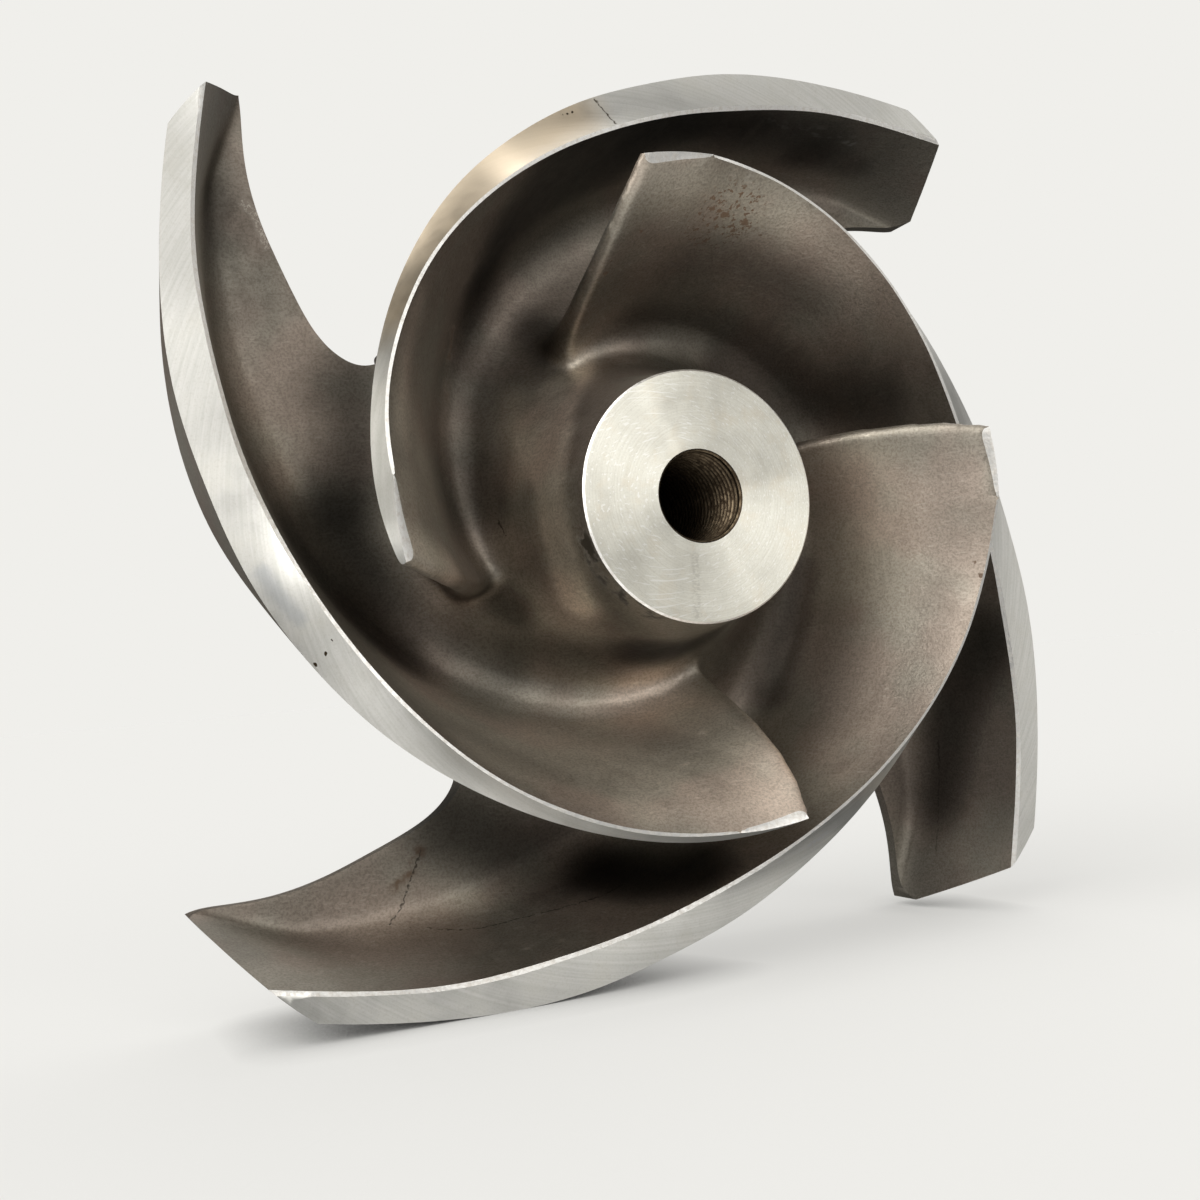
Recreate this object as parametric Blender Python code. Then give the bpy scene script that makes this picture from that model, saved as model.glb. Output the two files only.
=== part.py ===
# Semi-open pump impeller: four swept vanes on a scalloped back shroud, one
# stainless casting with a machined front, rim, hub and bore.
#
# Units are metres and +Z is up. The shaft axis runs level along Y, with the
# suction side towards -Y. The origin lies on the flat rear seat of the hub,
# below the bore. Working values are in millimetres about the shaft axis: an
# angle seen from the front (0 to the right, growing anticlockwise), a radius
# and a depth measured back from the hub's front face.
import bmesh
import bpy
import numpy as np
from math import radians

MM = 0.001
VANES = 4
QUARTER = 90.0
RIM_RADIUS = 127.0
BORE_RADIUS = 9.3
BORE_CHAMFER = 0.7
SEAT_DEPTH = 61.0
SEAT_RADIUS = 30.0
SHROUD_BACK = 58.0
# The hub boss behind the shroud narrows from this radius to the seat's.
BOSS_RADIUS = 34.0
AXIS_ABOVE_ORIGIN = 18.0
# Turn of the whole part about its axis that sets the two lower tips level.
STANCE_TURN = 11.0

# Spare metal on the blank, which the machining takes off.
SPARE = 3.0
# How far the foot of a vane reaches into the shroud.
BURIED = 1.3
# Grain of the blank's mesh, the passes that soften its inner corners, and the
# share of its faces that is kept.
VOXEL = 1.2
FILLET_PASSES = 10
KEEP_RATIO = 0.033
# Cuts pass this radius and these depths, clear of the blank.
CLEAR_RADIUS = 160.0
CLEAR_FRONT = -60.0
CLEAR_BACK = 90.0
SEAT_CUT_RADIUS = 60.0
# Between the hub's face and the leading edges, where two cuts part.
HUB_CLEAR = 34.0

# Turned profile of the vanes' front edges: radius, depth. The leading edges
# end on a flat turn at its first depth.
FRONT_PROFILE = [(67.9, -11.0), (68.6, -8.4), (69.6, -5.0), (71.2, -0.5), (73.2, 4.0), (76.2, 8.6),
                 (80.0, 12.5), (84.6, 15.8), (90.0, 18.1), (97.0, 19.9), (107.0, 21.3),
                 (118.0, 22.2), (127.0, 22.8), (140.0, 23.4)]
# Water side of the hub and shroud: radius, depth.
FLOW_PROFILE = [(25.8, -3.0), (26.5, 4.0), (28.2, 13.0), (31.6, 24.0), (37.5, 34.5),
                (46.5, 43.0), (58.0, 49.0), (73.0, 52.8), (90.0, 54.4), (108.0, 54.8),
                (140.0, 54.8)]
# Foot of each vane on the water side: angle, radius.
CONCAVE_ROOT = [(102.5, 37.5), (90, 39.5), (72, 42), (55, 45.5), (38, 50.5), (22, 56.5), (6, 63.5),
                (-8, 71.5), (-20, 79.5), (-30, 88.5), (-39, 98), (-47, 107.5), (-55, 118),
                (-61.6, 127), (-68, 137)]
CONVEX_ROOT = [(103.5, 41.5), (92, 44), (77, 47.5), (62, 51.5), (48, 56.5), (35, 62), (22, 68.5), (9, 75.5),
               (-2, 82), (-12, 89.3), (-22, 96.6), (-33, 105), (-45, 115.5), (-56, 127), (-64, 137)]
# Front corners of each vane on the turned profile: angle, radius.
CONCAVE_FRONT = [(86.6, 66.4), (78, 67.3), (65, 68.6), (50, 69.9), (35, 71.5), (20, 73.5), (5, 77.2),
                 (-8, 82.5), (-20, 89.6), (-30, 97.2), (-40, 107.2), (-50, 117.9), (-57, 127.4),
                 (-63, 137)]
CONVEX_FRONT = [(87.2, 68.6), (78, 69.6), (65, 70.7), (50, 72.5), (35, 75.5), (20, 80.0), (8, 84.4),
                (-5, 90.5), (-15, 95.9), (-25, 103.2), (-35, 111.0), (-43, 118.5), (-50.5, 127),
                (-58, 137)]
# Edge of the shroud's scallop, from a tip inwards: angle, radius.
SCALLOP = [(-67.0, 136.0), (-64.2, 127.0), (-61.8, 120.5), (-59.2, 113.5), (-56.7, 106.5),
           (-54.5, 99.5), (-52.2, 92.0), (-49.7, 84.8), (-47.6, 78.5), (-46.5, 72.8), (-47.2, 67.4),
           (-50.0, 64.4)]
# Edge of the shroud behind the next vane, from the scallop out to its tip.
SHROUD_EDGE = [(34, 63.8), (28, 65.0), (18, 69.4), (6, 76.2), (-4, 82.6), (-13, 89.4), (-23, 96.6),
               (-34, 104.8), (-46, 115.3), (-57, 126.8), (-63, 135)]

# A vane's walls bow forward most at its leading edge and run straight past
# this share of its length.
LEAD_BOW = 4.0
BOWED_LENGTH = 0.45
# Fillets at the foot of a vane: widest on the concave side at the eye, least at
# the rim, and on the convex side only near the hub.
FILLET_MOST = 9.0
FILLET_LEAST = 2.6
FILLET_PER_MM = 0.2
HUB_FILLET = 6.0
HUB_FILLET_END = 74.0
HUB_FILLET_FADE = 14.0
# Share of its full width that a fillet has at the leading edge, and how fast it
# grows from there.
LEAD_FILLET = 0.35
LEAD_GROWTH = 5.0

WALL_STEPS = (0.24, 0.42, 0.61, 0.8, 1.0)
FILLET_STEPS = (0.0, 0.28, 0.52, 0.76)
NOSE_LENGTH = 1.8
NOSE_STEPS = (1.0, 0.68, 0.34)
NOSE_LEAST = 0.15

STATIONS = 60
CAST_SEGMENTS = 96
RIM_SEGMENTS = 120
HUB_SEGMENTS = 48
BORE_SEGMENTS = 36


def natural_cubic(x, y, at):
    """Values of the natural cubic spline through x, y."""
    n = len(x)
    h = np.diff(x)
    system = np.eye(n)
    right = np.zeros(n)
    for i in range(1, n - 1):
        system[i, i - 1] = h[i - 1]
        system[i, i] = 2 * (h[i - 1] + h[i])
        system[i, i + 1] = h[i]
        right[i] = 3 * ((y[i + 1] - y[i]) / h[i] - (y[i] - y[i - 1]) / h[i - 1])
    bend = np.linalg.solve(system, right)
    k = np.clip(np.searchsorted(x, at) - 1, 0, n - 2)
    d = at - x[k]
    slope = (y[k + 1] - y[k]) / h[k] - h[k] * (2 * bend[k] + bend[k + 1]) / 3
    return y[k] + slope * d + bend[k] * d ** 2 + (bend[k + 1] - bend[k]) / (3 * h[k]) * d ** 3


def around_axis(angle_deg, radius, depth):
    """Angle, radius and depth to x, y, z in millimetres about the shaft axis."""
    a = np.radians(np.asarray(angle_deg, dtype=float))
    return np.stack(np.broadcast_arrays(radius * np.cos(a), depth, radius * np.sin(a)), axis=-1)


def to_part(points):
    """Millimetres about the shaft axis to metres in the part's frame."""
    p = np.asarray(points, dtype=float).reshape(-1, 3)
    a = radians(STANCE_TURN)
    x = p[:, 0] * np.cos(a) - p[:, 2] * np.sin(a)
    z = p[:, 0] * np.sin(a) + p[:, 2] * np.cos(a)
    return np.stack([x, p[:, 1] - SEAT_DEPTH, z + AXIS_ABOVE_ORIGIN], axis=-1) * MM


def swept_line(points, count):
    """Smooth line through (angle, radius) points, resampled at even steps."""
    p = np.array(points, dtype=float)
    flat = around_axis(p[:, 0], p[:, 1], 0.0)
    s = np.concatenate([[0.0], np.cumsum(np.linalg.norm(np.diff(flat, axis=0), axis=1))])
    at = np.linspace(0.0, s[-1], count)
    return np.stack([natural_cubic(s, p[:, 0], at), natural_cubic(s, p[:, 1], at)], axis=1)


def depth_on(profile, radius):
    """Depth of a turned profile at a radius."""
    p = np.array(profile)
    return natural_cubic(p[:, 0], p[:, 1], np.clip(radius, p[0, 0], p[-1, 0]))


def smooth_profile(profile, steps):
    """More points on the smooth curve through a turned profile."""
    p = np.array(profile)
    s = np.concatenate([[0.0], np.cumsum(np.hypot(np.diff(p[:, 0]), np.diff(p[:, 1])))])
    at = np.linspace(0.0, s[-1], steps)
    return list(zip(natural_cubic(s, p[:, 0], at), natural_cubic(s, p[:, 1], at)))


def mesh_object(name, verts, faces):
    """Closed mesh object with its faces turned outward."""
    mesh = bpy.data.meshes.new(name)
    mesh.from_pydata([tuple(v) for v in verts], [], faces)
    bm = bmesh.new()
    bm.from_mesh(mesh)
    bmesh.ops.remove_doubles(bm, verts=bm.verts, dist=1e-6)
    bmesh.ops.dissolve_degenerate(bm, edges=bm.edges, dist=1e-7)
    bmesh.ops.recalc_face_normals(bm, faces=bm.faces)
    if bm.calc_volume(signed=True) < 0:
        bmesh.ops.reverse_faces(bm, faces=bm.faces)
    bm.to_mesh(mesh)
    bm.free()
    obj = bpy.data.objects.new(name, mesh)
    bpy.context.scene.collection.objects.link(obj)
    return obj


def tube_faces(rings, size):
    """Quads between consecutive closed rings, with both ends filled."""
    faces = []
    for i in range(rings - 1):
        for j in range(size):
            k = (j + 1) % size
            faces.append((i * size + j, i * size + k, (i + 1) * size + k, (i + 1) * size + j))
    faces.append(tuple(reversed(range(size))))
    faces.append(tuple(range((rings - 1) * size, rings * size)))
    return faces


def turned(name, outline, segments):
    """Solid turned about the shaft axis from a closed (radius, depth) outline."""
    outline = np.array(outline, dtype=float)
    size = len(outline)
    rings = [around_axis(360.0 * i / segments, outline[:, 0], outline[:, 1]) for i in range(segments)]
    faces = []
    for i in range(segments):
        n = (i + 1) % segments
        for j in range(size):
            k = (j + 1) % size
            faces.append((i * size + j, n * size + j, n * size + k, i * size + k))
    return mesh_object(name, to_part(np.concatenate(rings)), faces)


def wall_side(root, top, across, flare, bow):
    """Points up one side of a vane: fillet from the shroud, wall, spare top."""
    base = np.array([root[0], root[1], depth_on(FLOW_PROFILE, root[1]) + BURIED])
    front = np.array([top[0], top[1], depth_on(FRONT_PROFILE, top[1])])
    wall = []
    for f in WALL_STEPS:
        p = base + (front - base) * f
        p[1] -= bow * 4.0 * f * (1.0 - f)
        wall.append(around_axis(*p))
    base = around_axis(*base)
    foot = base + across * flare
    foot[1] = depth_on(FLOW_PROFILE, np.hypot(foot[0], foot[2])) + BURIED
    bend = [(1 - t) ** 2 * foot + 2 * t * (1 - t) * base + t * t * wall[0] for t in FILLET_STEPS]
    over = wall[-1] + (wall[-1] - wall[-2]) / np.linalg.norm(wall[-1] - wall[-2]) * SPARE
    return np.array(bend + wall + [over])


def outside_of(line):
    """Unit directions square to a swept line, in the plane of the shroud."""
    flat = around_axis(line[:, 0], line[:, 1], 0.0)
    run = np.gradient(flat, axis=0)
    across = np.stack([-run[:, 2], run[:, 1], run[:, 0]], axis=-1)
    return across / np.linalg.norm(across, axis=1, keepdims=True)


def vane_rings(stations):
    """Closed rings of points across one vane, from its leading edge outwards."""
    lines = [swept_line(p, stations) for p in (CONCAVE_ROOT, CONVEX_ROOT, CONCAVE_FRONT, CONVEX_FRONT)]
    inward, outward = -outside_of(lines[0]), outside_of(lines[1])
    rings = []
    for u in range(stations):
        root_in, root_out, top_in, top_out = [line[u] for line in lines]
        bow = LEAD_BOW * max(0.0, 1.0 - u / (BOWED_LENGTH * stations)) ** 1.5
        start = min(1.0, LEAD_FILLET + LEAD_GROWTH * u / stations)
        from_rim = max(RIM_RADIUS - root_in[1], 0.0)
        from_end = max(HUB_FILLET_END - root_out[1], 0.0)
        flare_in = start * min(FILLET_MOST, FILLET_LEAST + FILLET_PER_MM * from_rim)
        flare_out = start * HUB_FILLET * min(1.0, from_end / HUB_FILLET_FADE)
        inner = wall_side(root_in, top_in, inward[u], flare_in, bow)
        outer = wall_side(root_out, top_out, outward[u], flare_out, bow)
        rings.append(np.concatenate([inner, outer[::-1]]))
    return nose_rings(rings[0], rings[1]) + rings


def nose_rings(first, second):
    """Rings that round the leading edge in front of a vane's first ring."""
    middle = (first + first[::-1]) / 2
    ahead = first - second
    ahead /= np.linalg.norm(ahead, axis=1, keepdims=True)
    ahead = (ahead + ahead[::-1]) / 2
    rings = []
    for step in NOSE_STEPS:
        width = max(NOSE_LEAST, np.sqrt(1.0 - step ** 2))
        rings.append(middle + (first - middle) * width + ahead * NOSE_LENGTH * step)
    return rings


def vane(name, turn, stations):
    """Blank of one vane, with spare metal in front and beyond the rim."""
    rings = vane_rings(stations)
    size = len(rings[0])
    p = np.concatenate(rings)
    a = radians(turn)
    x = p[:, 0] * np.cos(a) - p[:, 2] * np.sin(a)
    z = p[:, 0] * np.sin(a) + p[:, 2] * np.cos(a)
    return mesh_object(name, to_part(np.stack([x, p[:, 1], z], axis=-1)), tube_faces(len(rings), size))


def shroud(name, segments):
    """Hub and back shroud turned whole, then cut to the scalloped outline."""
    edge_radius = FLOW_PROFILE[-1][0]
    core = BORE_RADIUS / 2
    back = [(edge_radius, SHROUD_BACK), (BOSS_RADIUS, SHROUD_BACK), (SEAT_RADIUS, SEAT_DEPTH),
            (SEAT_RADIUS, SEAT_DEPTH + SPARE), (core, SEAT_DEPTH + SPARE), (core, FLOW_PROFILE[0][1])]
    body = turned(name, smooth_profile(FLOW_PROFILE, 16) + back, segments)
    edge = []
    for k in range(VANES):
        turn = -QUARTER * k
        edge += [(a + turn, r) for a, r in SCALLOP]
        edge += [(a + turn - QUARTER, r) for a, r in SHROUD_EDGE]
    edge = np.array(edge)
    low = around_axis(edge[:, 0], edge[:, 1], CLEAR_FRONT)
    high = around_axis(edge[:, 0], edge[:, 1], CLEAR_BACK)
    outline = mesh_object("scalloped_outline", to_part(np.concatenate([low, high])),
                          tube_faces(2, len(edge)))
    return combined(body, outline, "INTERSECT")


def combined(target, tool, operation):
    """Apply one exact Boolean and drop its tool."""
    mod = target.modifiers.new(tool.name, "BOOLEAN")
    mod.operation = operation
    mod.solver = "EXACT"
    mod.object = tool
    applied(target)
    bpy.data.objects.remove(tool, do_unlink=True)
    return target


def casting(name):
    """The raw casting, run together with soft fillets, before it is machined."""
    pieces = [shroud("hub_and_shroud", CAST_SEGMENTS)]
    pieces += [vane("vane_blank", -QUARTER * k, STATIONS) for k in range(VANES)]
    bm = bmesh.new()
    for piece in pieces:
        bm.from_mesh(piece.data)
        bpy.data.objects.remove(piece, do_unlink=True)
    mesh = bpy.data.meshes.new(name)
    bm.to_mesh(mesh)
    bm.free()
    blank = bpy.data.objects.new(name, mesh)
    bpy.context.scene.collection.objects.link(blank)
    fuse = blank.modifiers.new("fuse", "REMESH")
    fuse.mode = "VOXEL"
    fuse.voxel_size = VOXEL * MM
    fillet = blank.modifiers.new("fillet", "SMOOTH")
    fillet.factor = 0.5
    fillet.iterations = FILLET_PASSES
    keep_largest(applied(blank))
    thin = blank.modifiers.new("thin", "DECIMATE")
    thin.ratio = KEEP_RATIO
    return applied(blank)


def keep_largest(obj):
    """Drop the specks and closed pockets that fusing leaves inside a mesh."""
    bm = bmesh.new()
    bm.from_mesh(obj.data)
    groups = []
    left = set(bm.verts)
    while left:
        group = {left.pop()}
        front = list(group)
        while front:
            for edge in front.pop().link_edges:
                for vert in edge.verts:
                    if vert in left:
                        left.remove(vert)
                        group.add(vert)
                        front.append(vert)
        groups.append(group)
    groups.sort(key=len)
    for group in groups[:-1]:
        bmesh.ops.delete(bm, geom=list(group), context="VERTS")
    bm.to_mesh(obj.data)
    bm.free()


def applied(obj):
    """Give an object its mesh with all its modifiers applied."""
    graph = bpy.context.evaluated_depsgraph_get()
    mesh = bpy.data.meshes.new_from_object(obj.evaluated_get(graph))
    obj.modifiers.clear()
    obj.data = mesh
    return obj


def machined(blank):
    """Turn the front, rim, hub face and rear seat, and bore the hub."""
    front = [(CLEAR_RADIUS, CLEAR_FRONT), (HUB_CLEAR, CLEAR_FRONT), (HUB_CLEAR, FRONT_PROFILE[0][1])]
    front += smooth_profile(FRONT_PROFILE, 22) + [(CLEAR_RADIUS, FRONT_PROFILE[-1][1])]
    rim = [(RIM_RADIUS, CLEAR_FRONT), (CLEAR_RADIUS, CLEAR_FRONT), (CLEAR_RADIUS, CLEAR_BACK),
           (RIM_RADIUS, CLEAR_BACK)]
    face = [(0.0, CLEAR_FRONT), (HUB_CLEAR, CLEAR_FRONT), (HUB_CLEAR, 0.0), (0.0, 0.0)]
    seat = [(0.0, SEAT_DEPTH), (SEAT_CUT_RADIUS, SEAT_DEPTH), (SEAT_CUT_RADIUS, CLEAR_BACK),
            (0.0, CLEAR_BACK)]
    mouth = BORE_RADIUS + BORE_CHAMFER
    bore = [(0.0, CLEAR_FRONT), (mouth, CLEAR_FRONT), (mouth, 0.0), (BORE_RADIUS, BORE_CHAMFER),
            (BORE_RADIUS, SEAT_DEPTH - BORE_CHAMFER), (mouth, SEAT_DEPTH), (mouth, CLEAR_BACK),
            (0.0, CLEAR_BACK)]
    cuts = (("front_cut", front, CAST_SEGMENTS), ("rim_cut", rim, RIM_SEGMENTS),
            ("face_cut", face, HUB_SEGMENTS), ("seat_cut", seat, HUB_SEGMENTS),
            ("bore_cut", bore, BORE_SEGMENTS))
    for label, outline, segments in cuts:
        combined(blank, turned(label, outline, segments), "DIFFERENCE")
    return blank


def stainless(name):
    mat = bpy.data.materials.new(name)
    mat.use_nodes = True
    shader = mat.node_tree.nodes["Principled BSDF"]
    shader.inputs["Base Color"].default_value = (0.30, 0.27, 0.24, 1.0)
    shader.inputs["Metallic"].default_value = 1.0
    shader.inputs["Roughness"].default_value = 0.42
    return mat


def main():
    for obj in list(bpy.data.objects):
        bpy.data.objects.remove(obj, do_unlink=True)
    impeller = machined(casting("impeller"))
    impeller.data.materials.clear()
    impeller.data.materials.append(stainless("cast_stainless"))
    for face in impeller.data.polygons:
        face.use_smooth = True
    impeller.data.set_sharp_from_angle(angle=radians(35))


main()
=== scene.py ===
# Semi-open pump impeller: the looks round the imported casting.
#
# Units are metres and +Z is up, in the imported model's frame: the shaft axis is
# level along Y, with the suction side towards -Y. Working values are in
# millimetres about the shaft axis: an angle seen from the front (0 to the right,
# growing anticlockwise), a radius and a depth behind the hub's front face.
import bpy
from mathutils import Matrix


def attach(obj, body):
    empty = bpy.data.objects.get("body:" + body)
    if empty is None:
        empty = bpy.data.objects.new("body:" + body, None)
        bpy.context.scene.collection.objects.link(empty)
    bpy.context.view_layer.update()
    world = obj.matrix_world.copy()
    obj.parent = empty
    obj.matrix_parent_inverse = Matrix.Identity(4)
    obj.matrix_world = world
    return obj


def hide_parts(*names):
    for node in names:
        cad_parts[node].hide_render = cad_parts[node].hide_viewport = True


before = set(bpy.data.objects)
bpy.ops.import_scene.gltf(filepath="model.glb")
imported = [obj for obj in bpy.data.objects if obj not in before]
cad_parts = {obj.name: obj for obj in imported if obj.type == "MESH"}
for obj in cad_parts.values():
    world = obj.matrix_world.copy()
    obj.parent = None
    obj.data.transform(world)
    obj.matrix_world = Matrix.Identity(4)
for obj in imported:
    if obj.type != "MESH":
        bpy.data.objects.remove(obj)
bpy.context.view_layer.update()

import bmesh
import bpy
import numpy as np
from math import cos, pi, radians, sin

MM = 0.001
MM_PER_M = 1000.0
VANES = 4
QUARTER = 90.0
RIM_RADIUS = 127.0
HUB_RADIUS = 26.4
# Chamfer round the hub's face: how far in and how deep it is.
HUB_CHAMFER_WIDTH = 0.5
HUB_CHAMFER_DEPTH = 1.4
BORE_RADIUS = 9.3
BORE_CHAMFER = 0.5
# The plain bore is a little smaller than the thread's tool, so that the two cuts
# cross cleanly.
BORE_SPARE = 0.06
SEAT_DEPTH = 61.0
SEAT_RADIUS = 30.0
SHROUD_BACK = 58.0
BOSS_RADIUS = 34.0
AXIS_ABOVE_ORIGIN = 18.0
STANCE_TURN = 11.0

# Spare metal that machining takes off, and how deep a vane's foot lies in the shroud.
SPARE = 3.0
BURIED = 0.5
# Grain of the fused casting, the passes that soften its inner corners, and the
# share of its faces that is kept.
VOXEL = 0.75
FILLET_PASSES = 26
KEEP_RATIO = 0.13
# Reach of the cutting tools past the metal.
CLEAR_RADIUS = 160.0
CLEAR_FRONT = -60.0
CLEAR_BACK = 90.0
HUB_CLEAR = 34.0
SEAT_CUT_RADIUS = 60.0

# Turned profiles, as radius and depth: the vane fronts, and the hub and shroud.
FRONT_PROFILE = [(67.9, -11.0), (68.6, -8.4), (69.6, -5.0), (71.2, -0.5), (73.2, 4.0), (76.2, 8.6),
                 (80.0, 12.5), (84.6, 15.8), (90.0, 18.1), (97.0, 19.9), (107.0, 21.3),
                 (118.0, 22.2), (127.0, 22.8), (140.0, 23.4)]
FLOW_PROFILE = [(26.1, -3.0), (26.8, 4.0), (28.2, 13.0), (31.6, 24.0), (37.5, 34.5),
                (46.5, 43.0), (58.0, 49.0), (73.0, 52.8), (90.0, 54.4), (108.0, 54.8),
                (140.0, 54.8)]
# Corners of a vane where it meets the shroud and on its front: angle and radius.
CONCAVE_ROOT = [(98.4, 38.1), (89, 39.6), (72, 42), (55, 45.5), (38, 50.5), (22, 56.5), (6, 63.5),
                (-8, 71.5), (-20, 79.5), (-30, 88.5), (-39, 98), (-47, 107.5), (-54.6, 117.5),
                (-60.0, 122.4), (-64.2, 127), (-72, 136)]
CONVEX_ROOT = [(99.4, 42.3), (91, 44.2), (77, 47.5), (62, 51.5), (48, 56.5), (35, 62), (22, 68.5),
               (9, 75.5), (-2, 82), (-12, 89.3), (-22, 96.6), (-33, 105), (-45, 115.5),
               (-56, 127), (-64, 137)]
CONCAVE_FRONT = [(88.0, 66.6), (78, 67.6), (65, 69.0), (50, 70.3), (35, 71.9), (20, 73.9), (5, 77.6),
                 (-8, 82.9), (-20, 90.0), (-30, 97.6), (-40, 107.7), (-49.8, 118.4), (-56.4, 127.2),
                 (-62.5, 137)]
CONVEX_FRONT = [(88.6, 68.5), (78, 69.6), (65, 70.7), (50, 72.5), (35, 75.5), (20, 80.0), (8, 84.4),
                (-5, 90.5), (-15, 95.9), (-25, 103.2), (-35, 111.0), (-43.3, 118.4), (-51.2, 127),
                (-59, 137)]
# Edge of the shroud: the scallop from a tip inwards, then along the next vane.
SCALLOP = [(-67.0, 136.0), (-64.2, 127.0), (-61.8, 120.5), (-59.2, 113.5), (-56.7, 106.5),
           (-54.5, 99.5), (-52.2, 92.0), (-49.7, 84.8), (-47.6, 78.5), (-46.5, 72.8), (-47.2, 67.4),
           (-50.0, 64.4)]
SHROUD_EDGE = [(34, 63.8), (28, 65.0), (18, 69.4), (6, 76.2), (-4, 82.6), (-13, 89.4), (-23, 96.6),
               (-34, 104.8), (-46, 115.3), (-57, 126.8), (-63, 135)]

# The rim's corner at each tip is rounded, and two worn tips are short.
TIP_CORNER = -54.0
TIP_ROUNDING = 0.02
WORN_TIPS = [(124.0, 1.1), (34.0, 0.6)]
WORN_SPREAD = 25.0

# Bow of a vane's wall near its leading edge: forward, the turn in degrees that goes
# with each millimetre of it, and the share of the vane's length that is bowed.
LEAD_BOW = 6.0
LEAD_TURN = 0.07
BOWED_LENGTH = 0.45
# Fillets at the foot of a vane: widest on the hollow side at the eye, least at the
# rim, and on the other side only near the hub.
FILLET_MOST = 11.5
FILLET_LEAST = 0.4
FILLET_PER_MM = 0.26
HUB_FILLET = 6.0
HUB_FILLET_END = 74.0
HUB_FILLET_FADE = 14.0
# Share of the fillet at the leading edge, and its growth over the vane's length.
LEAD_FILLET = 0.35
LEAD_GROWTH = 5.0
# Shares of the way up a wall, round a fillet and round the nose with points on them.
WALL_STEPS = (0.24, 0.42, 0.61, 0.8, 1.0)
FILLET_STEPS = (0.0, 0.28, 0.52, 0.76)
NOSE_LENGTH = 1.8
NOSE_STEPS = (1.0, 0.68, 0.34)
NOSE_LEAST = 0.15
STATIONS = 90
SEGMENTS = 180
SCALLOP_STATIONS = 120
DRESSING_STATIONS = 220
BORE_SEGMENTS = 96
THREAD_SEGMENTS = 60
THREAD_STEPS = 8

# The trimmed edge of a scallop turns in at the tip, then follows the line above.
TIP_TURN = [(-62.0, 132.0), (-63.8, 127.8), (-63.4, 124.8), (-62.0, 120.5)]

# Spare metal left along each scallop, how far each one is then trimmed back, the
# trimming bar's width and front, and the side of the line that it lies on.
TRIM_SPARE = 1.0
TRIM_BACK = (2.4, 0.9, 1.1, 2.9)
TRIM_WIDTH = 5.0
TRIM_FRONT = 46.0
TRIM_SIDE = -1.0

# Dressed edge along the concave front corner of each vane, wider at the leading
# edge. Its two ripples have a height, a speed along the vane and a shift from vane
# to vane. Its tool is a bar that reaches past the corner and leans with the wall.
DRESSED_WIDTH = 0.75
DRESSED_LEAD = 1.3
DRESSED_LEAD_LENGTH = 0.07
DRESSED_RIPPLES = ((0.05, 31.0, 1.0), (0.04, 79.0, 2.0))
DRESSING_OVERRUN = 1.2
DRESSING_THICKNESS = 3.0
WALL_LEAN_PER_BOW = 3.6

# Internal thread of the bore: its tool begins ahead of the mouth, ends past the
# seat, and grows to full depth below the mouth.
THREAD_PITCH = 1.5
THREAD_DEPTH = 0.8
THREAD_BEGINS = -6.0
THREAD_EXTRA = 12.0
THREAD_FADE_FROM = 0.4
THREAD_FADE_LENGTH = 2.4
THREAD_ROOT_FLAT = 0.12

# Kinds of surface, in the order of the mesh's material slots.
FACES = ("cast", "turned_front", "turned_hub", "bore_thread", "dressed_edge")

# The studio: the floor, the colour behind, and light everywhere.
FLOOR_HEIGHT = -0.0834
BACKDROP = (0.871, 0.863, 0.831)
LIGHT_TINT = (1.0, 0.985, 0.955)
# Light that comes from everywhere alike.
DIM = 0.06
# Directions over which the floor's light is averaged.
SKY_POINTS = 20000
# Soft lights far away: compass angle from the front, height, half width, brightness.
# Those of the window are cut off by its straight edges.
WINDOW = [(-60.0, 52.0, 42.0, 2.6), (-72.0, 15.0, 38.0, 2.1), (-74.0, 12.0, 24.0, 1.4),
          (-57.0, 36.0, 24.0, 1.4)]
LIGHTS = [(120.0, 52.0, 42.0, 1.65), (36.0, 15.0, 38.0, 0.5), (72.0, 15.0, 38.0, 0.3),
          (-72.0, -22.0, 40.0, 0.75), (63.0, -22.0, 40.0, 0.3), (-90.0, -60.0, 45.0, 0.65),
          (0.0, -60.0, 45.0, 1.05), (-2.0, 12.0, 24.0, 1.1), (22.0, 12.0, 24.0, 0.6),
          (15.0, 36.0, 24.0, 0.9)]
# The window's edges: a direction, and where the light begins and is full along it.
WINDOW_EDGES = [((-0.12, 0.0, 0.99), 0.03, 0.09), ((-0.91, 0.0, -0.41), -0.52, -0.46)]
# Bright strips by those edges: across, where, half width, the side it is on, from, to.
STRIPS = [((-0.12, 0.0, 0.99), 0.085, 0.06, (-1.0, 0.0, 0.0), 0.2, 0.4, 1.3),
          ((-0.91, 0.0, -0.41), -0.46, 0.06, (0.0, 0.0, 1.0), 0.3, 0.5, 1.3)]
# Share of the floor's brightness that a shadow can't take away.
FLOOR_GLOW = 0.6
# How far from the part the painted contact shadow darkens the floor, and how strongly.
CONTACT_REACH = 0.014
CONTACT_SHADE = 0.5

# Lens and sensor in millimetres, place in metres, and the turn as a quaternion.
CAMERA_LENS = 41.97
CAMERA_SENSOR = 36.0
CAMERA_PLACE = (-0.13855, -0.31242, -0.01564)
CAMERA_TURN = (0.667097, 0.713903, -0.121976, -0.174490)

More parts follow.
